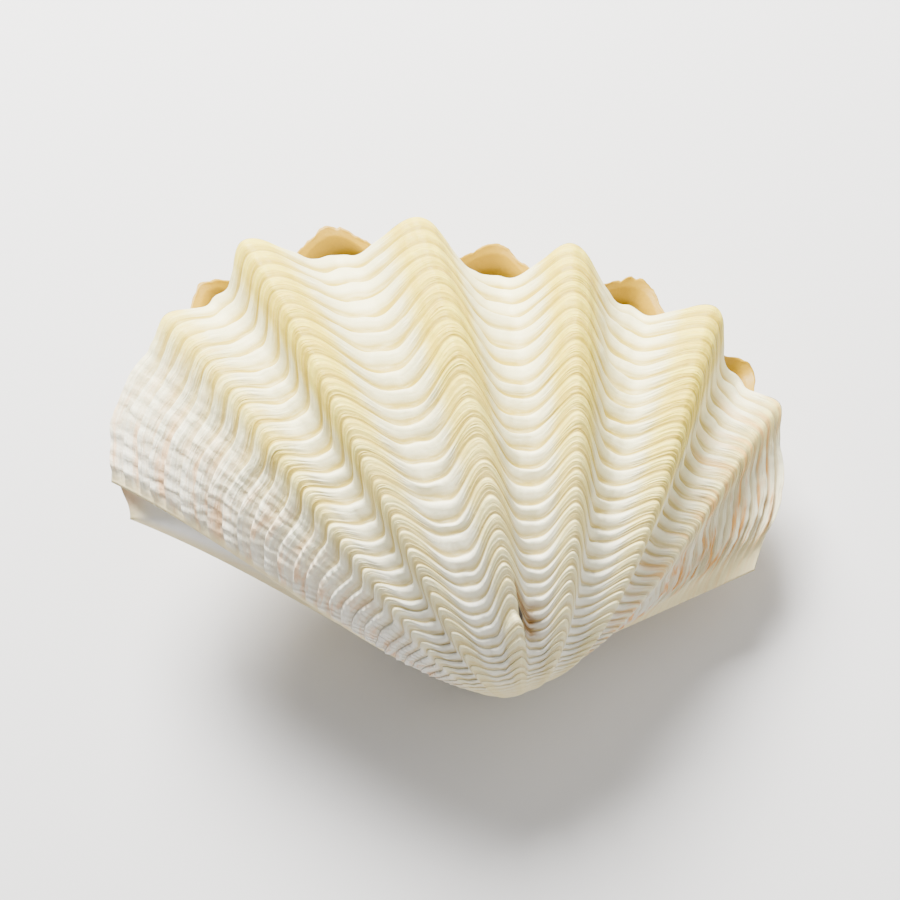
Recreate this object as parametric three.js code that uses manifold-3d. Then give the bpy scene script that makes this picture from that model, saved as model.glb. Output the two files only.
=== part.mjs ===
import * as THREE from 'three';
import { mergeVertices } from 'three/addons/utils/BufferGeometryUtils.js';
import Module from 'manifold-3d';

// A giant clam: two folded valves, closed, and the ligament that joins them at the hinge.
// Everything is in millimetres. The shape is worked out in the valve frame: the umbo (the beak)
// at the origin, the valves meeting in the plane z = 0, +y towards the wavy margin, +x towards
// the hinge end. At the end the closed pair is tilted as it lies, and set on z = 0.

// The margin in the meeting plane, from the hinge end round to the gape end.
const outline = [
  [66, 24], [76.5, 53.5], [68, 80], [37, 104], [0, 113.5],
  [-42, 120], [-77.5, 107.5], [-102, 77], [-104, 57],
];

// The lower valve reaches further round at the gape end, first down and then inwards.
const lowerReachDown = 10;
const lowerReachDownSpan = [0.86, 0.98];
const lowerReachInwards = 4.5;
const lowerReachInwardsSpan = [0.94, 1];

// Growth: the margin turns about the hinge axis by an angle and shrinks towards the umbo.
const hingeAxisAngle = THREE.MathUtils.degToRad(6);
const growthRate = 0.75;
const growthRateRise = 0.15;
const umboTurn = 3.0;
const umboCrowding = 1.15;
const roofTurn = 0.6;

// Folds: where ribs and troughs of the upper valve meet the margin in turn, as fractions of the
// margin's length, a trough first and last. The lower valve has its ribs in these troughs.
const foldPlaces = [0.105, 0.163, 0.208, 0.273, 0.342, 0.42, 0.486, 0.57, 0.652, 0.733, 0.785, 0.834, 0.893];
const crestHeight = 7.5;
const troughDepth = 7;
const crestSharpness = 1.4;
const foldsStart = [0.06, 0.27];
const foldsEnd = [0.7, 0.93];
const foldsFadeTurn = [1.3, 2.4];

// The meeting line: how far a trough's edge tucks under the other valve's rib.
const tuckShare = 0.22;
const mostTuck = 2.2;
const tuckSharpness = 6;
const flattestEdge = 0.2;
const lipTurn = 0.08;
const meetingGap = 0.4;

// The wall, measured straight in at the margin and towards the shell's middle elsewhere.
const shellMiddle = new THREE.Vector3(-12, 45, 0);
const marginWall = 3.6;
const roofWall = 13;
const wallGrowsOver = [0.1, 1];
const wallTurnsOver = [0, 0.3];
const hingePlateExtra = 3.5;
const hingePlateSpan = 0.12;
const gapeWallExtra = 10;
const gapeWallSpan = [0.86, 0.97];
const innerRibFade = 0.3;
const innerTroughFadeTurn = [0.15, 1];
const hingePlateFront = 28;
const hingePlateNarrowing = 0.3;

// The lie of the closed pair, and the depth of the worn flats that it stands on.
const liftOfMargin = THREE.MathUtils.degToRad(14);
const sidewaysRoll = THREE.MathUtils.degToRad(9);
const wearDepth = 1.6;

// The ligament: a flat band sunk along the hinge line, as fractions of that line's length.
const ligamentFrom = 0.2;
const ligamentTo = 0.62;
const ligamentHalfWidth = 3;
const ligamentHalfHeight = 1.1;
const ligamentInset = 3.1;
const ligamentClearance = 0.3;

// Mesh fineness.
const columnsPerHalfFold = 5;
const rows = 15;
const roofRows = 9;
const ligamentSteps = 16;
const ligamentSides = 10;
const differenceStep = 0.002;

const chalkWhite = 0xe9e2cf;
const warmCream = 0xe6dcc0;
const driedBrown = 0x4a3222;

const wasm = await Module();
wasm.setup();

const margin = new THREE.CatmullRomCurve3(outline.map(([x, y]) => new THREE.Vector3(x, y, 0)));
const hingeEnd = margin.getPointAt(0);
const hingeAxis = new THREE.Vector3(Math.cos(hingeAxisAngle), Math.sin(hingeAxisAngle), 0);
const acrossAxis = new THREE.Vector3(-hingeAxis.y, hingeAxis.x, 0);
const upwards = new THREE.Vector3(0, 0, 1);

// Side is 1 above the meeting plane and -1 below it.
const upperValve = { side: 1 };
const lowerValve = { side: -1 };

function marginPoint(valve, along) {
  const point = margin.getPointAt(along);
  if (valve.side > 0) return point;
  point.x += lowerReachInwards * THREE.MathUtils.smoothstep(along, ...lowerReachInwardsSpan);
  point.y -= lowerReachDown * THREE.MathUtils.smoothstep(along, ...lowerReachDownSpan);
  return point;
}

function shrink(turn) {
  return Math.exp(-growthRate * turn - growthRateRise * turn * turn);
}

// The smooth spiral surface, without folds.
function smoothPoint(valve, along, turn) {
  const fromEnd = marginPoint(valve, along).sub(hingeEnd);
  const reach = fromEnd.dot(acrossAxis);
  return hingeEnd.clone()
    .addScaledVector(hingeAxis, fromEnd.dot(hingeAxis))
    .addScaledVector(acrossAxis, reach * Math.cos(turn))
    .addScaledVector(upwards, reach * Math.sin(turn))
    .multiplyScalar(shrink(turn));
}

// The way in from the margin, in the meeting plane and square to the margin.
function marginInwards(valve, along) {
  const before = marginPoint(valve, Math.max(along - differenceStep, 0));
  const after = marginPoint(valve, Math.min(along + differenceStep, 1));
  return upwards.clone().cross(after.sub(before)).normalize();
}

// The way out of the smooth surface, square to it.
function outwardNormal(valve, along, turn) {
  const before = smoothPoint(valve, Math.max(along - differenceStep, 0), turn);
  const after = smoothPoint(valve, Math.min(along + differenceStep, 1), turn);
  const nearer = smoothPoint(valve, along, turn - differenceStep);
  const further = smoothPoint(valve, along, turn + differenceStep);
  return nearer.sub(further).cross(after.sub(before)).normalize();
}

// How many half folds lie between the first trough and a place on the margin.
function foldCount(along) {
  let i = 0;
  while (i < foldPlaces.length - 2 && along > foldPlaces[i + 1]) i += 1;
  return i + (along - foldPlaces[i]) / (foldPlaces[i + 1] - foldPlaces[i]);
}

function foldStrength(along) {
  const start = THREE.MathUtils.smoothstep(along, ...foldsStart);
  return start * (1 - THREE.MathUtils.smoothstep(along, ...foldsEnd));
}

// 1 on a rib of this valve, -1 in its troughs.
function foldWave(valve, along) {
  return -valve.side * Math.cos(Math.PI * foldCount(along));
}

// Height of the folds over the smooth surface at the margin.
function foldHeight(valve, along) {
  const rise = ((1 + foldWave(valve, along)) / 2) ** crestSharpness;
  return foldStrength(along) * (rise * (crestHeight + troughDepth) - troughDepth);
}

// How far the margin drops, along the surface, to reach the meeting line.
function marginDrop(valve, along, normal) {
  const wave = foldWave(valve, along);
  const wholeFold = (crestHeight + troughDepth) * foldStrength(along);
  const overhang = Math.hypot(normal.x, normal.y) * wholeFold - marginWall;
  const room = THREE.MathUtils.clamp(overhang * tuckShare, 0, mostTuck);
  const wanted = wholeFold / 2 * normal.z * wave - room * Math.max(-wave, 0) ** tuckSharpness;
  return foldHeight(valve, along) * normal.z - wanted;
}

// A point moved out by the fold's height, and near the margin down to the meeting line.
function foldedPoint(valve, along, turn, height) {
  const edgeNormal = outwardNormal(valve, along, 0);
  const drop = marginDrop(valve, along, edgeNormal) * Math.exp(-turn / lipTurn);
  const outwards = new THREE.Vector3(edgeNormal.x, edgeNormal.y, 0);
  const slope = edgeNormal.z / Math.max(outwards.lengthSq(), flattestEdge);
  return smoothPoint(valve, along, turn)
    .addScaledVector(outwardNormal(valve, along, turn), height)
    .addScaledVector(outwards, drop * slope)
    .addScaledVector(upwards, -drop);
}

function outerPoint(valve, along, turn) {
  const fade = 1 - THREE.MathUtils.smoothstep(turn, ...foldsFadeTurn);
  return foldedPoint(valve, along, turn, foldHeight(valve, along) * shrink(turn) * fade);
}

function wallThickness(along, turn) {
  const grown = THREE.MathUtils.smoothstep(turn, ...wallGrowsOver);
  const nearHinge = 1 - THREE.MathUtils.smoothstep(along, 0, hingePlateSpan);
  const nearGape = THREE.MathUtils.smoothstep(along, ...gapeWallSpan);
  const wall = THREE.MathUtils.lerp(marginWall, roofWall, grown);
  return wall + hingePlateExtra * nearHinge * grown + gapeWallExtra * nearGape;
}

// The inside: folded only near the margin, smooth under the roof. Troughs fade more slowly
// than ribs, as the wall thickens.
function roofPoint(valve, along, turn) {
  const onRib = foldHeight(valve, along) > 0;
  const troughFade = 1 - THREE.MathUtils.smoothstep(turn, ...innerTroughFadeTurn);
  const fade = onRib ? Math.exp(-turn / innerRibFade) : troughFade;
  const height = foldHeight(valve, along) * shrink(turn) * fade;
  const point = foldedPoint(valve, along, turn, height);
  const towardsMiddle = shellMiddle.clone().sub(point).normalize();
  const share = THREE.MathUtils.smoothstep(turn, ...wallTurnsOver);
  const inwards = marginInwards(valve, along).lerp(towardsMiddle, share).normalize();
  return point.addScaledVector(inwards, wallThickness(along, turn));
}

// Past the roof the inside bends down, as a quarter of an ellipse, to the hinge plate.
function innerPoint(valve, along, row) {
  if (row <= roofRows) return roofPoint(valve, along, roofTurn * row / roofRows);
  const last = roofPoint(valve, along, roofTurn);
  const frontX = last.x * hingePlateNarrowing;
  const bend = (row - roofRows) / (rows - roofRows) * Math.PI / 2;
  const point = new THREE.Vector3(frontX, hingePlateFront, 0).lerp(last, 1 - Math.sin(bend));
  point.z = last.z * Math.cos(bend);
  return point;
}

function columnPlaces() {
  const knots = [0, ...foldPlaces, 1];
  const places = [];
  for (let k = 0; k < knots.length - 1; k += 1) {
    for (let i = 0; i < columnsPerHalfFold; i += 1) {
      places.push(THREE.MathUtils.lerp(knots[k], knots[k + 1], i / columnsPerHalfFold));
    }
  }
  places.push(1);
  return places;
}

function indexedGeometry(positions, triangles) {
  const geometry = new THREE.BufferGeometry();
  geometry.setAttribute('position', new THREE.Float32BufferAttribute(positions, 3));
  geometry.setIndex(triangles);
  return geometry;
}

// Two sheets of the same grid, joined all round: one closed wall.
function valveGeometry(valve) {
  const columns = columnPlaces();
  const width = columns.length;
  const positions = [];
  const addRow = (pointAt) => {
    for (const along of columns) {
      const point = pointAt(along);
      positions.push(point.x, point.y, valve.side * (point.z + meetingGap / 2));
    }
  };
  for (let row = 0; row <= rows; row += 1) {
    const turn = umboTurn * (row / rows) ** umboCrowding;
    addRow((along) => outerPoint(valve, along, turn));
  }
  for (let row = 0; row <= rows; row += 1) addRow((along) => innerPoint(valve, along, row));

  const outer = (row, column) => row * width + column;
  const inner = (row, column) => outer(row + rows + 1, column);
  const triangles = [];
  const quad = (a, b, c, d) => {
    if (valve.side < 0) triangles.push(a, b, c, a, c, d);
    else triangles.push(c, b, a, d, c, a);
  };
  for (let row = 0; row < rows; row += 1) {
    for (let column = 0; column < width - 1; column += 1) {
      quad(outer(row, column), outer(row + 1, column), outer(row + 1, column + 1), outer(row, column + 1));
      quad(inner(row, column), inner(row, column + 1), inner(row + 1, column + 1), inner(row + 1, column));
    }
  }
  for (let column = 0; column < width - 1; column += 1) {
    quad(outer(0, column), outer(0, column + 1), inner(0, column + 1), inner(0, column));
    quad(outer(rows, column), inner(rows, column), inner(rows, column + 1), outer(rows, column + 1));
  }
  const end = width - 1;
  for (let row = 0; row < rows; row += 1) {
    quad(outer(row, 0), inner(row, 0), inner(row + 1, 0), outer(row + 1, 0));
    quad(outer(row, end), outer(row + 1, end), inner(row + 1, end), inner(row, end));
  }
  return indexedGeometry(positions, triangles);
}

// A flat tapered band with an oval section.
function ligamentGeometry(halfWidth, halfHeight) {
  const inwards = new THREE.Vector3(-hingeEnd.y, hingeEnd.x, 0).normalize();
  const positions = [];
  for (let step = 0; step <= ligamentSteps; step += 1) {
    const part = step / ligamentSteps;
    const swell = Math.sqrt(Math.max(1 - (2 * part - 1) ** 4, 0.05));
    const place = THREE.MathUtils.lerp(ligamentFrom, ligamentTo, part);
    const centre = hingeEnd.clone().multiplyScalar(place).addScaledVector(inwards, ligamentInset * swell);
    for (let corner = 0; corner < ligamentSides; corner += 1) {
      const angle = 2 * Math.PI * corner / ligamentSides;
      const point = centre.clone()
        .addScaledVector(inwards, -halfWidth * swell * Math.cos(angle))
        .addScaledVector(upwards, halfHeight * swell * Math.sin(angle));
      positions.push(point.x, point.y, point.z);
    }
  }
  const triangles = [];
  for (let step = 0; step < ligamentSteps; step += 1) {
    for (let corner = 0; corner < ligamentSides; corner += 1) {
      const a = step * ligamentSides + corner;
      const b = step * ligamentSides + (corner + 1) % ligamentSides;
      triangles.push(a, b + ligamentSides, b, a, a + ligamentSides, b + ligamentSides);
    }
  }
  const end = ligamentSteps * ligamentSides;
  for (let corner = 1; corner < ligamentSides - 1; corner += 1) {
    triangles.push(0, corner, corner + 1, end, end + corner + 1, end + corner);
  }
  return indexedGeometry(positions, triangles);
}

function toSolid(geometry) {
  const bare = geometry.clone();
  bare.deleteAttribute('normal');
  bare.deleteAttribute('uv');
  const merged = mergeVertices(bare);
  return new wasm.Manifold(new wasm.Mesh({
    numProp: 3,
    vertProperties: new Float32Array(merged.attributes.position.array),
    triVerts: new Uint32Array(merged.index.array),
  }));
}

function toGeometry(solid) {
  const mesh = solid.getMesh();
  const geometry = new THREE.BufferGeometry();
  geometry.setAttribute('position', new THREE.BufferAttribute(mesh.vertProperties, 3));
  geometry.setIndex(new THREE.BufferAttribute(mesh.triVerts, 1));
  geometry.computeVertexNormals();
  return geometry;
}

// Tilts the shapes, then sets the whole on z = 0, centred, with the worn depth below it.
function layDown(geometries) {
  const turn = new THREE.Matrix4()
    .makeRotationX(liftOfMargin)
    .multiply(new THREE.Matrix4().makeRotationY(sidewaysRoll));
  const box = new THREE.Box3();
  for (const geometry of geometries) {
    geometry.applyMatrix4(turn);
    geometry.computeBoundingBox();
    box.union(geometry.boundingBox);
  }
  const middle = box.getCenter(new THREE.Vector3());
  for (const geometry of geometries) {
    geometry.translate(-middle.x, -middle.y, -box.min.z - wearDepth);
  }
}

function wearFlat(geometry) {
  const size = 400;
  const below = new THREE.BoxGeometry(size, size, size).translate(0, 0, -size / 2);
  return toGeometry(toSolid(geometry).subtract(toSolid(below)));
}

function makeMesh(name, geometry, colour, roughness) {
  const material = new THREE.MeshStandardMaterial({ color: colour, roughness, metalness: 0 });
  const mesh = new THREE.Mesh(geometry, material);
  mesh.name = name;
  return mesh;
}

const seatHalfWidth = ligamentHalfWidth + ligamentClearance;
const seat = toSolid(ligamentGeometry(seatHalfWidth, ligamentHalfHeight + ligamentClearance));
const upper = toGeometry(toSolid(valveGeometry(upperValve)).subtract(seat));
const lower = toGeometry(toSolid(valveGeometry(lowerValve)).subtract(seat));
const ligament = ligamentGeometry(ligamentHalfWidth, ligamentHalfHeight);
layDown([upper, lower, ligament]);

const shell = new THREE.Group();
shell.add(makeMesh('upper_valve', upper, chalkWhite, 0.6));
shell.add(makeMesh('lower_valve', wearFlat(lower), warmCream, 0.6));
shell.add(makeMesh('ligament', toGeometry(toSolid(ligament)), driedBrown, 0.8));

export default shell;
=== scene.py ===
import math

import bmesh
import bpy
from mathutils import Euler, Matrix, Vector


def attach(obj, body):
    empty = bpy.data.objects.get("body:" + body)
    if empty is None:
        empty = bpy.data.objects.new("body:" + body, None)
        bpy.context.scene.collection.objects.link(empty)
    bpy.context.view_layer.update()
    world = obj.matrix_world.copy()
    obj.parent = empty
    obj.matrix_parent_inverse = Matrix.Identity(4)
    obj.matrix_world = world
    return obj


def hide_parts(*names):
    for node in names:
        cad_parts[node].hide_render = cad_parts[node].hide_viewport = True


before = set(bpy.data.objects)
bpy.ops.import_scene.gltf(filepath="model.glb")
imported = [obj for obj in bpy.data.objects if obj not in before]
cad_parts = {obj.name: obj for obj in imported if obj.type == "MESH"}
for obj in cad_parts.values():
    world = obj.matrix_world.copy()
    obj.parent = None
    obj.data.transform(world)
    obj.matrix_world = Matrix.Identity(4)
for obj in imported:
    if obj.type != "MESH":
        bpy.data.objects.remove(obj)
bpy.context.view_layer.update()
print("frame loaded")

mm = 0.001

# How the closed pair lies: tilted about its own axes, with the umbo at this place (mm).
lie = {
    "liftOfMargin": math.radians(14),
    "sidewaysRoll": math.radians(9),
    "umboPlace": (13.378, -57.255, 27.297),
}

# The margin in the meeting plane, from the hinge end round to the gape end (mm), and the
# places along it where the upper valve has a trough, a rib, a trough and so on.
margin = {
    "outline": [(66, 24), (76.5, 53.5), (68, 80), (37, 104), (0, 113.5),
                (-42, 120), (-77.5, 107.5), (-102, 77), (-104, 57)],
    "foldPlaces": [0.105, 0.163, 0.208, 0.273, 0.342, 0.42, 0.486,
                   0.57, 0.652, 0.733, 0.785, 0.834, 0.893],
    "lowerDown": (-10, 0.86, 0.98),     # the lower valve reaches further round at the gape end,
    "lowerInwards": (4.5, 0.94, 1),     # each a distance and the places it grows between
    "columns": 368,
}

# Sizes shared by both valves (mm, and radians of growth about the hinge axis).
valve = {
    "Columns": margin["columns"],
    "Fine rows": 186,            # six to a growth step
    "Coarse rows": 48,           # three to a growth step, towards the worn umbo
    "Rim rows": 4,
    "Inner rows": 30,
    "Hinge axis angle": math.radians(6),
    "Growth rate": 0.75,
    "Growth rate rise": 0.15,
    "Umbo turn": 3.0,
    "Turn per step": 0.052,
    "Turn rise": 0.000006,
    "Crest height": 7.5,
    "Trough depth": 7.0,
    "Margin wall": 3.6,
    "Roof wall": 13.0,
    "Gape wall": 10.0,           # added where the valves gape
    "Meeting gap": 0.4,
    "Growth line wave": 0.08,
    "Wave gained with age": 0.1,
    "Step height": 2.1,
    "Step height on ribs": 0.6,
    "Unevenness": 0.35,
    "Chipping": 0.0,             # ragged edge of the ribs
    "Ledge height": 0.0,         # a healed break near the umbo
}

hingeEnd = Vector(margin["outline"][0]).to_3d()


def linearColour(hexValue, strength=1.0):
    channels = [int(hexValue[i:i + 2], 16) / 255 for i in (1, 3, 5)]
    linear = [c / 12.92 if c <= 0.04045 else ((c + 0.055) / 1.055) ** 2.4 for c in channels]
    return (*[c * strength for c in linear], 1.0)


def addNode(tree, kind, inputs=(), output=0, **settings):
    node = tree.nodes.new(kind)
    for name, value in settings.items():
        setattr(node, name, value)
    pairs = inputs.items() if isinstance(inputs, dict) else enumerate(inputs)
    for key, value in pairs:
        if isinstance(value, bpy.types.NodeSocket):
            tree.links.new(value, node.inputs[key])
        elif value is not None:
            node.inputs[key].default_value = value
    return node.outputs if output is None else node.outputs[output]


def smoothstep(low, high, x):
    t = min(max((x - low) / (high - low), 0), 1)
    return t * t * (3 - 2 * t)


# Margin line --------------------------------------------------------------

def catmullRom(points, t):
    place = (len(points) - 1) * t
    i = min(int(place), len(points) - 2)
    weight = place - i
    p1 = points[i]
    p2 = points[i + 1]
    p0 = points[i - 1] if i > 0 else 2 * points[0] - points[1]
    p3 = points[i + 2] if i + 2 < len(points) else 2 * points[-1] - points[-2]
    d0 = (p1 - p0).length ** 0.5
    d1 = (p2 - p1).length ** 0.5
    d2 = (p3 - p2).length ** 0.5
    t1 = ((p1 - p0) / d0 - (p2 - p0) / (d0 + d1) + (p2 - p1) / d1) * d1
    t2 = ((p2 - p1) / d1 - (p3 - p1) / (d1 + d2) + (p3 - p2) / d2) * d1
    return (p1 + t1 * weight + (3 * (p2 - p1) - 2 * t1 - t2) * weight ** 2
            + (2 * (p1 - p2) + t1 + t2) * weight ** 3)


def evenPoints(points, count):
    fine = 400
    trial = [catmullRom(points, i / fine) for i in range(fine + 1)]
    reach = [0.0]
    for a, b in zip(trial, trial[1:]):
        reach.append(reach[-1] + (b - a).length)
    result = []
    i = 0
    for k in range(count):
        wanted = reach[-1] * k / (count - 1)
        while i < fine - 1 and reach[i + 1] < wanted:
            i += 1
        part = (wanted - reach[i]) / (reach[i + 1] - reach[i])
        result.append(catmullRom(points, (i + part) / fine))
    return result


def foldCount(along):
    places = margin["foldPlaces"]
    i = 0
    while i < len(places) - 2 and along > places[i + 1]:
        i += 1
    return i + (along - places[i]) / (places[i + 1] - places[i])


def makeMarginLine(name, isLower):
    corners = [Vector((x, y, 0)) for x, y in margin["outline"]]
    points = evenPoints(corners, margin["columns"])
    alongs = [i / (len(points) - 1) for i in range(len(points))]
    for point, along in zip(points, alongs):
        if isLower:
            inwards, *span = margin["lowerInwards"]
            point.x += inwards * smoothstep(*span, along)
            down, *span = margin["lowerDown"]
            point.y += down * smoothstep(*span, along)
    mesh = bpy.data.meshes.new(name)
    mesh.from_pydata(points, [(i, i + 1) for i in range(len(points) - 1)], [])
    mesh.attributes.new("along", "FLOAT", "POINT").data.foreach_set("value", alongs)
    counts = [foldCount(along) for along in alongs]
    mesh.attributes.new("foldCount", "FLOAT", "POINT").data.foreach_set("value", counts)
    piece = bpy.data.objects.new(name, mesh)
    bpy.context.scene.collection.objects.link(piece)
    return piece


# Valve tree ---------------------------------------------------------------

def makeValveTree():
    tree = bpy.data.node_groups.new("folded valve", "GeometryNodeTree")
    tree.interface.new_socket("Margin line", in_out="INPUT", socket_type="NodeSocketGeometry")
    tree.interface.new_socket("Valve", in_out="OUTPUT", socket_type="NodeSocketGeometry")
    whole = ("Columns", "Fine rows", "Coarse rows", "Rim rows", "Inner rows", "Seed")
    for name in (*valve, "Side", "Seed"):
        kind = "NodeSocketInt" if name in whole else "NodeSocketFloat"
        socket = tree.interface.new_socket(name, in_out="INPUT", socket_type=kind)
        socket.default_value = valve.get(name, 1)
    tree.interface.new_socket("Shell", in_out="INPUT", socket_type="NodeSocketMaterial")
    given = tree.nodes.new("NodeGroupInput").outputs
    line = given["Margin line"]
    side = given["Side"]

    def maths(operation, *values):
        return addNode(tree, "ShaderNodeMath", values, operation=operation)

    def vectors(operation, *values, output=0):
        return addNode(tree, "ShaderNodeVectorMath", values, output, operation=operation)

    def scaled(vector, factor):
        return addNode(tree, "ShaderNodeVectorMath", {0: vector, 3: factor}, operation="SCALE")

    def ramp(value, low, high, lowValue=0.0, highValue=1.0):
        return addNode(tree, "ShaderNodeMapRange", (value, low, high, lowValue, highValue),
                       interpolation_type="SMOOTHSTEP")

    def mixed(factor, a, b):
        return addNode(tree, "ShaderNodeMix", {0: factor, 4: a, 5: b}, 1, data_type="VECTOR")

    # rows: coarse and fine outside ones, from the umbo to the margin, then the rim, the inside
    outerRows = maths("ADD", given["Fine rows"], given["Coarse rows"])
    shownRows = maths("ADD", outerRows, given["Rim rows"])
    allRows = maths("ADD", maths("ADD", shownRows, given["Inner rows"]), 1)
    grid = addNode(tree, "GeometryNodeMeshGrid",
                   {"Vertices X": given["Columns"], "Vertices Y": allRows})
    index = addNode(tree, "GeometryNodeInputIndex")
    column = maths("FLOOR", maths("DIVIDE", maths("ADD", index, 0.5), allRows))
    rowNumber = maths("SUBTRACT", index, maths("MULTIPLY", column, allRows))
    row = maths("MODULO", rowNumber, maths("SUBTRACT", allRows, 1))     # the last row is the first

    position = addNode(tree, "GeometryNodeInputPosition")

    def sampled(value, kind, place):
        return addNode(tree, "GeometryNodeSampleIndex", {0: line, "Value": value, "Index": place},
                       data_type=kind, domain="POINT", clamp=True)

    edge = sampled(position, "FLOAT_VECTOR", column)
    before = sampled(position, "FLOAT_VECTOR", maths("SUBTRACT", column, 1))
    after = sampled(position, "FLOAT_VECTOR", maths("ADD", column, 1))
    along = sampled(addNode(tree, "GeometryNodeInputNamedAttribute", {"Name": "along"},
                            data_type="FLOAT"), "FLOAT", column)
    count = sampled(addNode(tree, "GeometryNodeInputNamedAttribute", {"Name": "foldCount"},
                            data_type="FLOAT"), "FLOAT", column)
    tangent = vectors("NORMALIZE", vectors("SUBTRACT", after, before))

    # folds
    wave = maths("MULTIPLY", maths("MULTIPLY", side, -1),
                 maths("COSINE", maths("MULTIPLY", count, math.pi)))
    strength = maths("MULTIPLY", ramp(along, 0.06, 0.27), ramp(along, 0.7, 0.93, 1.0, 0.0))
    wholeFold = maths("ADD", given["Crest height"], given["Trough depth"])
    rise = maths("POWER", maths("MULTIPLY_ADD", wave, 0.5, 0.5), 1.4)
    height = maths("MULTIPLY", strength,
                   maths("SUBTRACT", maths("MULTIPLY", rise, wholeFold), given["Trough depth"]))

    # growth steps: crowded at the sharp side of each step
    fromMargin = maths("MAXIMUM", maths("SUBTRACT", maths("SUBTRACT", outerRows, 1), row), 0)
    fineRow = maths("MINIMUM", fromMargin, given["Fine rows"])
    fineStep = maths("FLOOR", maths("DIVIDE", maths("ADD", fineRow, 0.5), 6))
    partStep = maths("DIVIDE", maths("SUBTRACT", fineRow, maths("MULTIPLY", fineStep, 6)), 6)
    coarseRow = maths("MAXIMUM", maths("SUBTRACT", fromMargin, given["Fine rows"]), 0)
    growth = maths("ADD", maths("ADD", fineStep, maths("POWER", partStep, 1.4)),
                   maths("DIVIDE", coarseRow, 3))
    seedShift = maths("MULTIPLY", given["Seed"], 17.3)
    wander = addNode(tree, "ShaderNodeTexNoise", {
        "Vector": addNode(tree, "ShaderNodeCombineXYZ", (maths("MULTIPLY", along, 9),
                                                        maths("MULTIPLY", growth, 0.6), 0)),
        "W": seedShift, "Scale": 1.0, "Detail": 2.0}, noise_dimensions="4D")
    wandered = maths("ADD", growth, maths(
        "MULTIPLY", maths("MULTIPLY", maths("SUBTRACT", wander, 0.5), given["Unevenness"]),
        maths("MINIMUM", growth, 3)))
    plainTurn = maths("ADD", maths("MULTIPLY", wandered, given["Turn per step"]),
                      maths("MULTIPLY", maths("POWER", maths("MAXIMUM", wandered, 0), 3),
                            given["Turn rise"]))
    ribAhead = maths("SUBTRACT", maths("POWER", maths("MULTIPLY_ADD", wave, 0.5, 0.5), 1.8), 0.35)
    waveHere = maths("ADD", given["Growth line wave"], maths(
        "MULTIPLY", given["Wave gained with age"], ramp(plainTurn, 0.4, 1.4)))
    ahead = maths("MULTIPLY", maths("MULTIPLY", waveHere, ramp(plainTurn, 0.0, 0.4)),
                  maths("MULTIPLY", maths("MULTIPLY", strength, ribAhead),
                        ramp(plainTurn, 1.3, 2.4, 1.0, 0.0)))
    outerTurn = maths("MINIMUM", maths("MAXIMUM", maths("SUBTRACT", plainTurn, ahead), 0),
                      given["Umbo turn"])

    # the inside: a quarter of its rows under the roof, the rest bend down to the hinge plate
    innerRow = maths("MAXIMUM", maths("SUBTRACT", row, maths("SUBTRACT", shownRows, 1)), 0)
    roofRows = maths("MULTIPLY", given["Inner rows"], 0.6)
    roofPart = maths("MINIMUM", maths("DIVIDE", innerRow, roofRows), 1)
    bend = maths("MULTIPLY", maths("MAXIMUM", maths("DIVIDE", maths("SUBTRACT", innerRow, roofRows),
                 maths("SUBTRACT", given["Inner rows"], roofRows)), 0), math.pi / 2)
    isInner = maths("GREATER_THAN", row, maths("SUBTRACT", outerRows, 0.5))
    rimPart = maths("MINIMUM", maths("DIVIDE", maths("MAXIMUM", maths(
        "SUBTRACT", row, maths("SUBTRACT", outerRows, 1)), 0), given["Rim rows"]), 1)
    turn = maths("ADD", maths("MULTIPLY", outerTurn, maths("SUBTRACT", 1, isInner)),
                 maths("MULTIPLY", maths("MULTIPLY", roofPart, 0.6), isInner))

    # the smooth spiral surface and its outward normal, at any turn
    axis = vectors("NORMALIZE", addNode(tree, "ShaderNodeCombineXYZ", (
        maths("COSINE", given["Hinge axis angle"]), maths("SINE", given["Hinge axis angle"]), 0)))
    across = addNode(tree, "ShaderNodeCombineXYZ", (
        maths("MULTIPLY", maths("SINE", given["Hinge axis angle"]), -1),
        maths("COSINE", given["Hinge axis angle"]), 0))
    up = (0.0, 0.0, 1.0)
    fromEnd = vectors("SUBTRACT", edge, tuple(hingeEnd))
    onAxis = vectors("DOT_PRODUCT", fromEnd, axis, output=1)
    reach = vectors("DOT_PRODUCT", fromEnd, across, output=1)
    tangentOnAxis = vectors("DOT_PRODUCT", tangent, axis, output=1)
    tangentAcross = vectors("DOT_PRODUCT", tangent, across, output=1)

    def shrunk(turnValue):
        rate = maths("ADD", maths("MULTIPLY", given["Growth rate"], turnValue),
                     maths("MULTIPLY", given["Growth rate rise"],
                           maths("MULTIPLY", turnValue, turnValue)))
        return maths("EXPONENT", maths("MULTIPLY", rate, -1))

    def surface(turnValue, shrinkValue):
        swung = vectors("ADD", scaled(across, maths("COSINE", turnValue)),
                        scaled(up, maths("SINE", turnValue)))
        unshrunk = vectors("ADD", vectors("ADD", tuple(hingeEnd), scaled(axis, onAxis)),
                           scaled(swung, reach))
        point = scaled(unshrunk, shrinkValue)
        turned = vectors("SUBTRACT", scaled(up, maths("COSINE", turnValue)),
                         scaled(across, maths("SINE", turnValue)))
        fall = maths("ADD", given["Growth rate"], maths(
            "MULTIPLY", maths("MULTIPLY", given["Growth rate rise"], 2), turnValue))
        alongGrowth = vectors("SUBTRACT", scaled(unshrunk, fall), scaled(turned, reach))
        alongMargin = vectors("ADD", scaled(axis, tangentOnAxis), scaled(swung, tangentAcross))
        return point, vectors("NORMALIZE", vectors("CROSS_PRODUCT", alongGrowth, alongMargin))

    size = shrunk(turn)
    point, normal = surface(turn, size)
    edgeNormal = surface(0.0, 1.0)[1]

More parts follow.
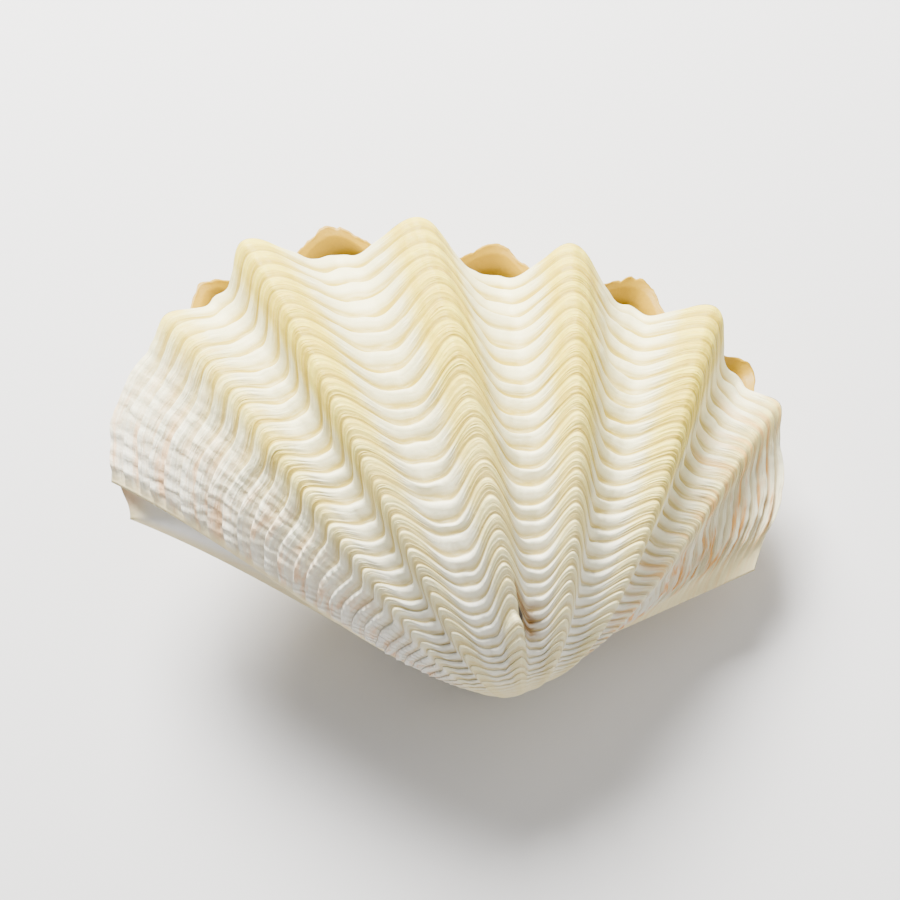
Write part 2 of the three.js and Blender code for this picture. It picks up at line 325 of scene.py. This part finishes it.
    # at the margin the folds drop onto the meeting line
    split = tree.nodes.new("ShaderNodeSeparateXYZ")
    tree.links.new(edgeNormal, split.inputs[0])
    normalUp = split.outputs["Z"]
    flat = addNode(tree, "ShaderNodeCombineXYZ", (split.outputs["X"], split.outputs["Y"], 0.0))
    flatLength = vectors("LENGTH", flat, output=1)
    foldHere = maths("MULTIPLY", wholeFold, strength)
    room = maths("MINIMUM", maths("MAXIMUM", maths("MULTIPLY", maths(
        "SUBTRACT", maths("MULTIPLY", flatLength, foldHere), given["Margin wall"]), 0.22), 0), 2.2)
    trough = maths("POWER", maths("MAXIMUM", maths("MULTIPLY", wave, -1), 0), 6)
    wanted = maths("SUBTRACT", maths("MULTIPLY", maths("MULTIPLY", foldHere, 0.5),
                                     maths("MULTIPLY", normalUp, wave)),
                   maths("MULTIPLY", room, trough))
    drop = maths("SUBTRACT", maths("MULTIPLY", height, normalUp), wanted)
    dropHere = maths("MULTIPLY", drop, maths("EXPONENT", maths("DIVIDE", turn, -0.08)))
    slope = maths("DIVIDE", normalUp, maths("MAXIMUM", maths("MULTIPLY", flatLength, flatLength),
                                            0.2))
    shift = vectors("SUBTRACT", scaled(flat, maths("MULTIPLY", dropHere, slope)),
                    scaled(up, dropHere))

    # growth steps stand out most between the ribs
    stepPart = maths("FRACT", growth)
    stepShape = maths("MULTIPLY", ramp(stepPart, 0.0, 0.2), maths("SUBTRACT", 1.1, stepPart))
    stepSize = addNode(tree, "ShaderNodeMix", {
        0: maths("MULTIPLY", ramp(wave, -0.2, 0.75), ramp(strength, 0.1, 0.5)),
        2: given["Step height"], 3: given["Step height on ribs"]})
    wornHinge = maths("MULTIPLY", ramp(along, 0.015, 0.06), ramp(along, 1.0, 0.98))
    worn = maths("MULTIPLY", ramp(growth, 24.0, 35.0, 1.0, 0.12), wornHinge)
    uneven = addNode(tree, "ShaderNodeTexNoise", {
        "Vector": addNode(tree, "ShaderNodeCombineXYZ", (maths("MULTIPLY", along, 22),
                                                        maths("FLOOR", growth), 0)),
        "W": maths("ADD", seedShift, 5), "Scale": 1.0, "Detail": 2.0}, noise_dimensions="4D")
    stepHeight = maths("MULTIPLY", maths("MULTIPLY", stepShape, stepSize),
                       maths("MULTIPLY", maths("MULTIPLY", worn, ramp(uneven, 0.25, 0.75, 0.4, 1.4)),
                             maths("POWER", size, 0.7)))
    ledge = maths("MULTIPLY", maths("MULTIPLY", ramp(along, 0.548, 0.551), ramp(along, 0.61, 0.575)),
                  maths("MULTIPLY", ramp(growth, 23.2, 23.7), ramp(growth, 29.0, 25.5)))
    stepHeight = maths("ADD", stepHeight, maths("MULTIPLY", ledge, given["Ledge height"]))
    foldFade = addNode(tree, "ShaderNodeMix", {
        0: isInner, 2: ramp(turn, 1.3, 2.4, 1.0, 0.0),
        3: addNode(tree, "ShaderNodeMix", {
            0: maths("GREATER_THAN", height, 0), 2: ramp(turn, 0.15, 1.0, 1.0, 0.0),
            3: maths("EXPONENT", maths("DIVIDE", turn, -0.3))})})
    lift = maths("ADD", maths("MULTIPLY", maths("MULTIPLY", height, size), foldFade),
                 maths("MULTIPLY", stepHeight, maths("SUBTRACT", 1, isInner)))
    folded = vectors("ADD", vectors("ADD", point, scaled(normal, lift)), shift)

    # the wall: straight in at the margin, towards the middle of the shell under the roof
    edgeInwards = vectors("NORMALIZE", vectors("CROSS_PRODUCT", up, tangent))
    towardsMiddle = vectors("NORMALIZE", vectors("SUBTRACT", (-12.0, 45.0, 0.0), folded))
    inwards = vectors("NORMALIZE", mixed(ramp(turn, 0.0, 0.3), edgeInwards, towardsMiddle))
    grown = ramp(turn, 0.1, 1.0)
    nearHinge = ramp(along, 0.0, 0.12, 1.0, 0.0)
    wall = maths("ADD", addNode(tree, "ShaderNodeMix", {0: grown, 2: given["Margin wall"],
                                                        3: given["Roof wall"]}),
                 maths("ADD", maths("MULTIPLY", maths("MULTIPLY", nearHinge, grown), 3.5),
                       maths("MULTIPLY", ramp(along, 0.86, 0.97), given["Gape wall"])))
    roof = vectors("ADD", folded, scaled(inwards, maths("MULTIPLY", wall, rimPart)))
    roofSplit = tree.nodes.new("ShaderNodeSeparateXYZ")
    tree.links.new(roof, roofSplit.inputs[0])
    plate = addNode(tree, "ShaderNodeCombineXYZ",
                    (maths("MULTIPLY", roofSplit.outputs["X"], 0.3), 28.0, 0.0))
    bentFlat = mixed(maths("SUBTRACT", 1, maths("SINE", bend)), plate, roof)
    bentSplit = tree.nodes.new("ShaderNodeSeparateXYZ")
    tree.links.new(bentFlat, bentSplit.inputs[0])
    bent = addNode(tree, "ShaderNodeCombineXYZ", (
        bentSplit.outputs["X"], bentSplit.outputs["Y"],
        maths("MULTIPLY", roofSplit.outputs["Z"], maths("COSINE", bend))))
    pastRoof = maths("GREATER_THAN", bend, 0.0001)
    inside = mixed(pastRoof, roof, bent)
    final = mixed(isInner, folded, inside)

    # the ribs' edges are chipped
    chips = addNode(tree, "ShaderNodeTexNoise", {
        "Vector": addNode(tree, "ShaderNodeCombineXYZ", (maths("MULTIPLY", along, 95), 0, 0)),
        "W": maths("ADD", seedShift, 9), "Scale": 1.0, "Detail": 3.0}, noise_dimensions="4D")
    chipDepth = maths("MULTIPLY", maths("MULTIPLY", given["Chipping"], ramp(chips, 0.35, 0.75)),
                      maths("MULTIPLY", maths("POWER", maths("MAXIMUM", wave, 0), 0.5), strength))
    nearEdge = maths("MULTIPLY", ramp(growth, 1.5, 0.0), ramp(rimPart, 1.0, 0.3))
    final = vectors("ADD", final, scaled(edgeInwards, maths("MULTIPLY", chipDepth, nearEdge)))
    halfGap = maths("MULTIPLY", given["Meeting gap"], 0.5)
    finalSplit = tree.nodes.new("ShaderNodeSeparateXYZ")
    tree.links.new(final, finalSplit.inputs[0])
    placed = addNode(tree, "ShaderNodeCombineXYZ", (
        finalSplit.outputs["X"], finalSplit.outputs["Y"],
        maths("MULTIPLY", side, maths("ADD", finalSplit.outputs["Z"], halfGap))))

    shape = addNode(tree, "GeometryNodeSetPosition", {0: grid, "Position": placed})
    for name, value in (("along", along), ("growth", growth), ("rib", maths(
            "MULTIPLY", wave, strength)), ("inside", maths("MULTIPLY", isInner, rimPart)),
            ("depth", innerRow)):
        shape = addNode(tree, "GeometryNodeStoreNamedAttribute",
                        {0: shape, "Name": name, "Value": value}, data_type="FLOAT",
                        domain="POINT")
    shape = addNode(tree, "GeometryNodeMergeByDistance", {0: shape, "Distance": 0.002})
    isLower = addNode(tree, "FunctionNodeCompare", {0: side, 1: 0.0}, data_type="FLOAT",
                      operation="GREATER_THAN")
    shape = addNode(tree, "GeometryNodeFlipFaces", {0: shape, "Selection": isLower})
    roll = addNode(tree, "GeometryNodeTransform", {
        0: shape, "Rotation": Euler((0, lie["sidewaysRoll"], 0)), "Scale": (mm, mm, mm)})
    lifted = addNode(tree, "GeometryNodeTransform", {
        0: roll, "Rotation": Euler((lie["liftOfMargin"], 0, 0)),
        "Translation": Vector(lie["umboPlace"]) * mm})
    shape = addNode(tree, "GeometryNodeRealizeInstances", {0: lifted})
    shape = addNode(tree, "GeometryNodeSetShadeSmooth", {0: shape})
    shape = addNode(tree, "GeometryNodeSetMaterial", {0: shape, "Material": given["Shell"]})
    tree.links.new(shape, tree.nodes.new("NodeGroupOutput").inputs[0])
    return tree


def bake(piece, tree, values):
    modifier = piece.modifiers.new("grow", "NODES")
    modifier.node_group = tree
    for item in tree.interface.items_tree:
        if item.in_out == "INPUT" and item.name in values:
            modifier[item.identifier] = values[item.name]
    evaluated = piece.evaluated_get(bpy.context.evaluated_depsgraph_get())
    mesh = bpy.data.meshes.new_from_object(evaluated, preserve_all_data_layers=True,
                                           depsgraph=bpy.context.evaluated_depsgraph_get())
    piece.modifiers.remove(modifier)
    piece.data = mesh
    mesh.name = piece.name


def closeEnds(piece):
    work = bmesh.new()
    work.from_mesh(piece.data)
    for vert in work.verts:
        vert.co.z = max(vert.co.z, 0)      # worn flat where it stands
    bmesh.ops.holes_fill(work, edges=[e for e in work.edges if e.is_boundary], sides=0)
    bmesh.ops.triangulate(work, faces=[f for f in work.faces if len(f.verts) > 4])
    work.to_mesh(piece.data)
    work.free()


# Materials ----------------------------------------------------------------

def makeShell(name, look):
    material = bpy.data.materials.new(name)
    material.use_nodes = True
    tree = material.node_tree
    shader = tree.nodes["Principled BSDF"]
    shader.inputs["Roughness"].default_value = 0.5
    shader.inputs["IOR"].default_value = 1.53
    shader.inputs["Specular IOR Level"].default_value = 0.35
    shader.inputs["Subsurface Weight"].default_value = 0.08
    shader.inputs["Subsurface Radius"].default_value = (1.0, 0.75, 0.45)
    shader.inputs["Subsurface Scale"].default_value = 0.002

    def maths(operation, *values):
        return addNode(tree, "ShaderNodeMath", values, operation=operation)

    def ramp(value, low, high, lowValue=0.0, highValue=1.0):
        return addNode(tree, "ShaderNodeMapRange", (value, low, high, lowValue, highValue),
                       interpolation_type="SMOOTHSTEP")

    def tinted(factor, under, over):
        over = over if isinstance(over, bpy.types.NodeSocket) else linearColour(over)
        under = under if isinstance(under, bpy.types.NodeSocket) else linearColour(under)
        return addNode(tree, "ShaderNodeMix", {0: factor, 6: under, 7: over}, 2, data_type="RGBA")

    def noise(x, y, z, detail=3.0, roughness=0.55):
        place = addNode(tree, "ShaderNodeCombineXYZ", (x, y, z))
        return addNode(tree, "ShaderNodeTexNoise", {"Vector": place, "Scale": 1.0,
                                                    "Detail": detail, "Roughness": roughness})

    along, growth, rib, inside, depth = [
        addNode(tree, "ShaderNodeAttribute", (), 2, attribute_name=kind)
        for kind in ("along", "growth", "rib", "inside", "depth")]
    place = addNode(tree, "ShaderNodeTexCoord", (), 3)
    cloud = addNode(tree, "ShaderNodeTexNoise", {"Vector": place, "Scale": 45.0, "Detail": 4.0})
    grain = addNode(tree, "ShaderNodeTexNoise", {"Vector": place, "Scale": 900.0, "Detail": 3.0})

    onRib = ramp(maths("ADD", rib, maths("MULTIPLY", maths("SUBTRACT", cloud, 0.5), 0.5)), -0.05, 0.7)
    part = maths("FRACT", growth)
    lines = noise(maths("MULTIPLY", along, 30), maths("MULTIPLY", growth, 5.5), 0.0)
    streaks = noise(maths("MULTIPLY", along, 14), maths("MULTIPLY", growth, 1.4), 4.0)

    # cream ribs, white between them, a yellow notch under the lip of each growth step, part
    # yellow stain and part painted shade of the recess under the lip, and all of it paler with age
    age = ramp(growth, 6.0, 24.0)
    ribTint, deepTint, betweenTint, notchStainAndShadeTint = [
        tinted(age, *look[name]) for name in ("rib", "deepRib", "interspace", "notchStainAndShade")]
    colour = tinted(onRib, betweenTint, ribTint)
    deep = maths("MULTIPLY", onRib, ramp(streaks, 0.42, 0.62))
    colour = tinted(maths("MULTIPLY", deep, 0.75), colour, deepTint)
    # the notch mask: yellow stain plus painted shade in the recess under each lip
    notchStainAndShade = maths("MULTIPLY", maths("MAXIMUM", ramp(part, 0.45, 0.9), ramp(part, 0.06, 0.0)),
                  ramp(lines, 0.3, 0.6, 0.6, 1.0))
    colour = tinted(maths("MULTIPLY", notchStainAndShade, look["notchStainAndShadeStrength"]), colour, notchStainAndShadeTint)
    fine = maths("MULTIPLY", ramp(lines, 0.5, 0.68), ramp(rib, -0.5, 0.3, 0.05, 0.5))
    fine = maths("MULTIPLY", fine, ramp(growth, 5.0, 16.0, 1.0, 0.45))
    colour = tinted(fine, colour, look["line"])

    # peach streaks towards both ends
    ends = maths("MAXIMUM", ramp(along, 0.26, 0.1), ramp(along, 0.82, 0.97))
    slope = maths("MAXIMUM", ramp(along, 0.26, 0.1, 0.0, 0.35), ramp(along, 0.82, 0.97, 0.0, 0.7))
    colour = tinted(slope, colour, look["slope"])
    peach = maths("MULTIPLY", ends, ramp(streaks, 0.46, 0.66))
    colour = tinted(maths("MULTIPLY", peach, ramp(along, 0.2, 0.8, 0.9, 0.55)), colour, look["peach"])

    # smooth and pale where the beak is worn
    worn = maths("MAXIMUM", ramp(growth, 25.0, 34.0), maths("MAXIMUM", ramp(along, 0.065, 0.02),
                                                           ramp(along, 0.98, 0.998)))
    colour = tinted(maths("MULTIPLY", worn, 0.8), colour, look["worn"])

    # the healed break: painted shadow of its ledge, a dark line at the foot of the step and a brown patch beside
    # it
    ledgeFootShadow = maths("MULTIPLY", maths("MULTIPLY", ramp(along, 0.536, 0.543), ramp(along, 0.554, 0.551)),
                  maths("MULTIPLY", ramp(growth, 21.8, 22.6), ramp(growth, 27.0, 24.5)))
    specksAndLedgeShadow = maths("MULTIPLY", maths("MULTIPLY", ramp(along, 0.45, 0.505), ramp(along, 0.556, 0.55)),
                  maths("MULTIPLY", ramp(growth, 20.0, 21.0), ramp(growth, 24.6, 23.0)))
    specksAndLedgeShadow = maths("MULTIPLY", specksAndLedgeShadow, ramp(streaks, 0.3, 0.6, 0.35, 1.0))
    colour = tinted(maths("MULTIPLY", specksAndLedgeShadow, look["ledgeShadowStrength"]), colour, look["specksAndLedgeShadow"])
    colour = tinted(maths("MULTIPLY", ledgeFootShadow, look["ledgeShadowStrength"]), colour, look["ledgeFootShadow"])

    # a few dark specks
    cells = addNode(tree, "ShaderNodeTexVoronoi", {"Vector": place, "Scale": 60.0}, None)
    chosen = maths("GREATER_THAN", addNode(tree, "ShaderNodeSeparateColor", (cells["Color"],)), 0.65)
    speck = maths("MULTIPLY", chosen, ramp(cells["Distance"], 0.035, 0.02))
    colour = tinted(maths("MULTIPLY", speck, 0.7), colour, look["specksAndLedgeShadow"])

    # the margin's inner face is yellow, and porcelain white further in
    yellow = maths("MULTIPLY", maths("MAXIMUM", ramp(inside, 0.0, 0.05), maths(
        "MULTIPLY", ramp(growth, 1.2, 0.2), look["edgeSpread"])), ramp(depth, 9.0, 20.0, 1.0, 0.0))
    yellow = maths("MULTIPLY", yellow, ramp(along, 0.93, 0.88))
    colour = tinted(ramp(inside, 0.0, 0.5), colour, look["porcelain"])
    colour = tinted(yellow, colour, look["edge"])
    tree.links.new(colour, shader.inputs["Base Color"])

    # relief: fine growth lines, riblets on the slope at the gape end and on the ribs, and grain
    outside = maths("MULTIPLY", ramp(inside, 0.3, 0.0), maths("SUBTRACT", 1.0, worn))
    fineLines = maths("SINE", maths("MULTIPLY", maths("ADD", growth, maths("MULTIPLY", lines, 0.5)),
                                    2 * math.pi * 3))
    broken = noise(maths("MULTIPLY", along, 60), maths("MULTIPLY", growth, 0.9), 7.0)
    riblets = maths("SINE", maths("MULTIPLY", maths("ADD", along, maths(
        "MULTIPLY", broken, 0.014)), 2 * math.pi * look["ribletCount"]))
    ribletMask = maths("ADD", maths("MULTIPLY", ramp(along, 0.84, 0.9), ramp(broken, 0.3, 0.7, 0.35, 1.0)),
                       maths("MULTIPLY", ramp(rib, 0.1, 0.7), ramp(growth, 16.0, 2.0, 0.15, 0.5)))
    lip = maths("MULTIPLY", ramp(part, 0.0, 0.1), maths("SUBTRACT", 1.0, part))
    onRidges = ramp(rib, -0.5, 0.2, 0.1, 1.0)
    relief = maths("ADD", maths("MULTIPLY", lip, 0.8),
                   maths("MULTIPLY", maths("MULTIPLY", fineLines, ramp(growth, 6.0, 18.0, 0.14, 0.04)), onRidges))
    relief = maths("ADD", relief, maths("MULTIPLY", maths("MULTIPLY", riblets, ribletMask), 0.24))
    relief = maths("ADD", relief, maths("MULTIPLY", maths("MULTIPLY", lines, ramp(growth, 6.0, 18.0, 0.6, 0.2)),
                                          onRidges))
    relief = maths("MULTIPLY", relief, outside)
    relief = maths("ADD", relief, maths("MULTIPLY", grain, 0.12))
    bump = addNode(tree, "ShaderNodeBump", {"Strength": 1.0, "Distance": 0.0008, "Height": relief})
    tree.links.new(bump, shader.inputs["Normal"])
    return material


# Aragonite, grown in sheets: chalky white between the ribs, cream on them, a soft sheen.
shellLook = {
    "interspace": ("#FDF5BE", "#F9F6E6"),     # young, old
    "rib": ("#FAE44C", "#F8F0C4"),
    "deepRib": ("#EFD038", "#EEE0A0"),
    # notch: yellow stain plus painted shade of the recess under each lip
    "notchStainAndShade": ("#C4A81C", "#D6C184"),
    "notchStainAndShadeStrength": 0.95,
    "line": "#DDBB48",
    "slope": "#F4EFE6",
    "peach": "#EFA645",
    "worn": "#EEDCA2",
    "porcelain": "#F2EFE8",
    "edge": "#B48C00",
    "edgeSpread": 0.0,
    # brown of the painted shadow beside the ledge, also used for the real dark specks; then the dark painted
    # shadow line at the ledge's foot
    "specksAndLedgeShadow": "#8A5F18",
    "ledgeFootShadow": "#241006",
    "ledgeShadowStrength": 0.0,
    "ribletCount": 64,
}
# the upper valve, which carries the ledge, gets its painted shadow
upperShell = makeShell("aragonite shell, upper valve", {**shellLook, "ledgeShadowStrength": 0.95})
lowerShell = makeShell("aragonite shell, lower valve", {**shellLook, "edgeSpread": 0.95})

# The dried ligament: horny brown, in long fibres, with a dull sheen.
# the horn's own browns; the darkest one is painted shade in the grooves between the fibres
ligamentLook = {"fibre": "#4A2E1B", "grooveShade": "#26160C", "worn": "#7A5636"}


def makeHorn(name, look):
    material = bpy.data.materials.new(name)
    material.use_nodes = True
    tree = material.node_tree
    shader = tree.nodes["Principled BSDF"]
    shader.inputs["Roughness"].default_value = 0.6
    shader.inputs["IOR"].default_value = 1.54
    part = addNode(tree, "ShaderNodeAttribute", (), 2, attribute_name="part")
    around = addNode(tree, "ShaderNodeAttribute", (), 2, attribute_name="around")
    place = addNode(tree, "ShaderNodeCombineXYZ", (
        addNode(tree, "ShaderNodeMath", (part, 3.0), operation="MULTIPLY"),
        addNode(tree, "ShaderNodeMath", (around, 24.0), operation="MULTIPLY"), 0.0))
    fibres = addNode(tree, "ShaderNodeTexNoise", {"Vector": place, "Scale": 1.0, "Detail": 5.0})
    dry = addNode(tree, "ShaderNodeTexNoise", {
        "Vector": addNode(tree, "ShaderNodeTexCoord", (), 3), "Scale": 180.0, "Detail": 3.0})
    # darker where the fibres sink: painted shade in the grooves over the horn's own brown
    spread = addNode(tree, "ShaderNodeMapRange", (fibres, 0.35, 0.65))
    fibresAndGrooveShade = addNode(tree, "ShaderNodeMix", {0: spread, 6: linearColour(look["grooveShade"]),
                                           7: linearColour(look["fibre"])}, 2, data_type="RGBA")
    patches = addNode(tree, "ShaderNodeMapRange", (dry, 0.55, 0.7, 0.0, 0.6))
    colour = addNode(tree, "ShaderNodeMix", {0: patches, 6: fibresAndGrooveShade,
                                             7: linearColour(look["worn"])}, 2, data_type="RGBA")
    tree.links.new(colour, shader.inputs["Base Color"])
    bump = addNode(tree, "ShaderNodeBump", {"Strength": 0.7, "Distance": 0.0004, "Height": fibres})
    tree.links.new(bump, shader.inputs["Normal"])
    return material


horn = makeHorn("dried horny ligament", ligamentLook)
print("materials made")

valveTree = makeValveTree()
for name, side, seed in (("upper_shell", 1, 1), ("lower_shell", -1, 2)):
    piece = makeMarginLine(name, side < 0)
    bake(piece, valveTree, {**valve, "Side": float(side), "Seed": seed,
                            "Chipping": 0.0 if side > 0 else 1.8,
                            "Ledge height": 2.2 if side > 0 else 0.0,
                            "Shell": upperShell if side > 0 else lowerShell})
    closeEnds(piece)
    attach(piece, "root")
    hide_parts(name.replace("shell", "valve"))
    print(name, len(piece.data.vertices), "vertices", sum(len(p.vertices) - 2 for p in
          piece.data.polygons), "triangles")

# Ligament: a flat band of fibres along the hinge line (mm, and fractions of that line).
ligament = {
    "Steps": 90,
    "Sides": 56,
    "From": 0.2,
    "To": 0.62,
    "Half width": 3.0,
    "Half height": 1.1,
    "Inset": 3.1,
    "Fibre depth": 0.1,
}


def makeLigamentTree():
    tree = bpy.data.node_groups.new("ligament band", "GeometryNodeTree")
    tree.interface.new_socket("Start", in_out="INPUT", socket_type="NodeSocketGeometry")
    tree.interface.new_socket("Band", in_out="OUTPUT", socket_type="NodeSocketGeometry")
    for name, value in ligament.items():
        kind = "NodeSocketInt" if isinstance(value, int) else "NodeSocketFloat"
        tree.interface.new_socket(name, in_out="INPUT", socket_type=kind).default_value = value
    tree.interface.new_socket("Horn", in_out="INPUT", socket_type="NodeSocketMaterial")
    given = tree.nodes.new("NodeGroupInput").outputs

    def maths(operation, *values):
        return addNode(tree, "ShaderNodeMath", values, operation=operation)

    def scaled(vector, factor):
        return addNode(tree, "ShaderNodeVectorMath", {0: vector, 3: factor}, operation="SCALE")

    def added(a, b):
        return addNode(tree, "ShaderNodeVectorMath", (a, b), operation="ADD")

    grid = addNode(tree, "GeometryNodeMeshGrid",
                   {"Vertices X": given["Steps"], "Vertices Y": given["Sides"]})
    index = addNode(tree, "GeometryNodeInputIndex")
    step = maths("FLOOR", maths("DIVIDE", maths("ADD", index, 0.5), given["Sides"]))
    corner = maths("SUBTRACT", index, maths("MULTIPLY", step, given["Sides"]))
    part = maths("DIVIDE", step, maths("SUBTRACT", given["Steps"], 1))
    around = maths("DIVIDE", corner, maths("SUBTRACT", given["Sides"], 1))
    angle = maths("MULTIPLY", around, 2 * math.pi)
    offset = maths("MULTIPLY_ADD", part, 2, -1)
    swell = maths("SQRT", maths("MAXIMUM", maths("SUBTRACT", 1, maths("POWER", maths(
        "ABSOLUTE", offset), 4)), 0))
    fibre = addNode(tree, "ShaderNodeTexNoise", {
        "Vector": addNode(tree, "ShaderNodeCombineXYZ", (
            maths("MULTIPLY", part, 5), maths("MULTIPLY", maths("COSINE", angle), 6),
            maths("MULTIPLY", maths("SINE", angle), 6))), "Scale": 1.0, "Detail": 3.0})
    ridge = maths("MULTIPLY", maths("SUBTRACT", fibre, 0.6), given["Fibre depth"])
    halfWidth = maths("ADD", given["Half width"], ridge)
    halfHeight = maths("ADD", given["Half height"], ridge)
    inwards = Vector((-hingeEnd.y, hingeEnd.x, 0)).normalized()
    alongHinge = scaled(tuple(hingeEnd), maths("ADD", given["From"], maths(
        "MULTIPLY", part, maths("SUBTRACT", given["To"], given["From"]))))
    sideways = maths("MULTIPLY", swell, maths("SUBTRACT", given["Inset"], maths(
        "MULTIPLY", halfWidth, maths("COSINE", angle))))
    upwards = maths("MULTIPLY", swell, maths("MULTIPLY", halfHeight, maths("SINE", angle)))
    place = added(added(alongHinge, scaled(tuple(inwards), sideways)),
                  scaled((0.0, 0.0, 1.0), upwards))
    shape = addNode(tree, "GeometryNodeSetPosition", {0: grid, "Position": place})
    for name, value in (("part", part), ("around", around)):
        shape = addNode(tree, "GeometryNodeStoreNamedAttribute",
                        {0: shape, "Name": name, "Value": value}, data_type="FLOAT",
                        domain="POINT")
    shape = addNode(tree, "GeometryNodeMergeByDistance", {0: shape, "Distance": 0.0005})
    shape = addNode(tree, "GeometryNodeTransform", {
        0: shape, "Rotation": Euler((0, lie["sidewaysRoll"], 0)), "Scale": (mm, mm, mm)})
    shape = addNode(tree, "GeometryNodeTransform", {
        0: shape, "Rotation": Euler((lie["liftOfMargin"], 0, 0)),
        "Translation": Vector(lie["umboPlace"]) * mm})
    shape = addNode(tree, "GeometryNodeRealizeInstances", {0: shape})
    shape = addNode(tree, "GeometryNodeSetShadeSmooth", {0: shape})
    shape = addNode(tree, "GeometryNodeSetMaterial", {0: shape, "Material": given["Horn"]})
    tree.links.new(shape, tree.nodes.new("NodeGroupOutput").inputs[0])
    return tree


band = bpy.data.objects.new("ligament_band", bpy.data.meshes.new("ligament_band"))
bpy.context.scene.collection.objects.link(band)
bake(band, makeLigamentTree(), {**ligament, "Horn": horn})
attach(band, "root")
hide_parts("ligament")
print("ligament", len(band.data.vertices), "vertices")

# Camera: set in the valve frame, then laid down with the shell.
shot = {
    "place": (-38.6, 26.9, 333.2),
    "back": (-0.0723, -0.1014, 0.9922),
    "up": (0.0508, 0.9931, 0.1052),
    "lens": 50,
    "sensor": 36,
}
turned = (Matrix.Rotation(lie["liftOfMargin"], 3, "X") @ Matrix.Rotation(lie["sidewaysRoll"], 3, "Y"))
back = (turned @ Vector(shot["back"])).normalized()
right = (turned @ Vector(shot["up"])).cross(back).normalized()
upright = back.cross(right)
camera = bpy.data.objects.new("camera", bpy.data.cameras.new("camera"))
camera.data.lens = shot["lens"]
camera.data.sensor_width = shot["sensor"]
camera.matrix_world = (Matrix.Translation((turned @ Vector(shot["place"]) + Vector(lie["umboPlace"])) * mm)
                       @ Matrix((right, upright, back)).transposed().to_4x4())
bpy.context.scene.collection.objects.link(camera)
bpy.context.scene.camera = camera

floorMesh = bpy.data.meshes.new("floor")
floorMesh.from_pydata([(-3, -3, 0), (3, -3, 0), (3, 3, 0), (-3, 3, 0)], [], [(0, 1, 2, 3)])
floor = bpy.data.objects.new("floor", floorMesh)
bpy.context.scene.collection.objects.link(floor)
floorMaterial = bpy.data.materials.new("pale matt paper")
floorMaterial.use_nodes = True
floorMaterial.node_tree.nodes["Principled BSDF"].inputs["Base Color"].default_value = linearColour("#DAD8D6")
floorMaterial.node_tree.nodes["Principled BSDF"].inputs["Roughness"].default_value = 0.9
floorMesh.materials.append(floorMaterial)

lights = {"key": ((-0.15, 0.75, 0.8), 0.5, 72.0), "fill": ((0.6, 0.2, 0.9), 0.9, 5.0)}
for name, (place, width, power) in lights.items():
    lamp = bpy.data.lights.new(name, "AREA")
    lamp.size = width
    lamp.energy = power
    light = bpy.data.objects.new(name, lamp)
    light.matrix_world = (Matrix.Translation(place)
                          @ Vector(place).to_track_quat("Z", "Y").to_matrix().to_4x4())
    bpy.context.scene.collection.objects.link(light)
world = bpy.data.worlds.new("soft studio")
world.use_nodes = True
world.node_tree.nodes["Background"].inputs["Color"].default_value = (1, 1, 1, 1)
world.node_tree.nodes["Background"].inputs["Strength"].default_value = 0.48
bpy.context.scene.world = world
print("stage set")
